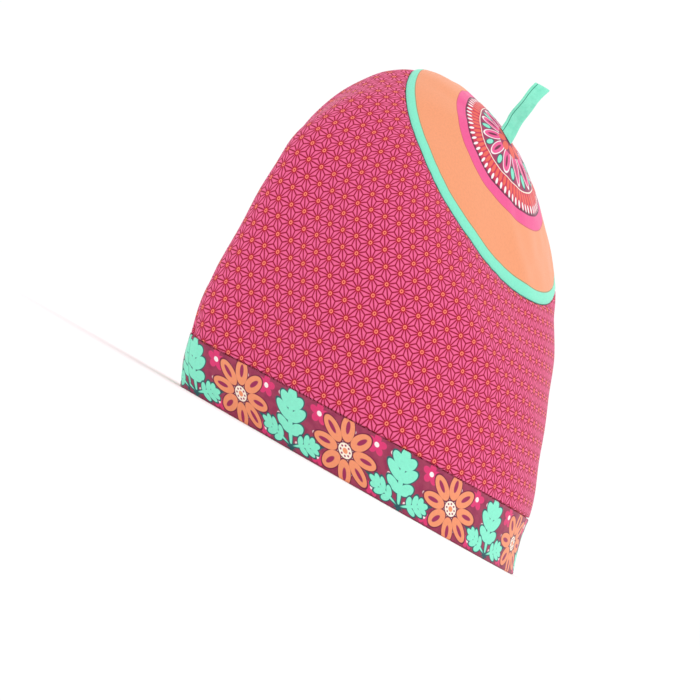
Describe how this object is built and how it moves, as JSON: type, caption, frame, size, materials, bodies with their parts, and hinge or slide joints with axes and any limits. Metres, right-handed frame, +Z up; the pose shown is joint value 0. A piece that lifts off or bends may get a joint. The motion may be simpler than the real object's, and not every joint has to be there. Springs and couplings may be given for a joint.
{
  "type": "tea cosy",
  "caption": "Fitted tea cosy: a padded dome of printed cotton with a round crown, a patterned border band, a printed lining and a tape loop on top, open below.",
  "frame": {"origin": "on the surface it stands on, at the middle of the whole cosy's footprint", "axes": "+Z up, through the crown; -Y the front panel; +X the side that the crown leans down to"},
  "size_m": [0.1832, 0.1706, 0.1958],
  "materials": {
    "magenta_print": "fine plain-weave cotton printed with a small hemp-leaf lattice, matt",
    "crown_print": "fine plain-weave cotton printed with concentric rings and a rosette, matt",
    "border_print": "fine plain-weave cotton printed with flowers and sprigs on plum, matt",
    "lining_print": "thin plain-weave cotton in the border's print, matt",
    "mint_tape": "folded cotton tape, matt"
  },
  "bodies": {
    "root": {"panel_front": "magenta_print", "panel_back": "magenta_print", "crown": "crown_print", "cuff_front": "border_print", "cuff_back": "border_print", "lining": "lining_print", "loop": "mint_tape"}
  },
  "joints": []
}
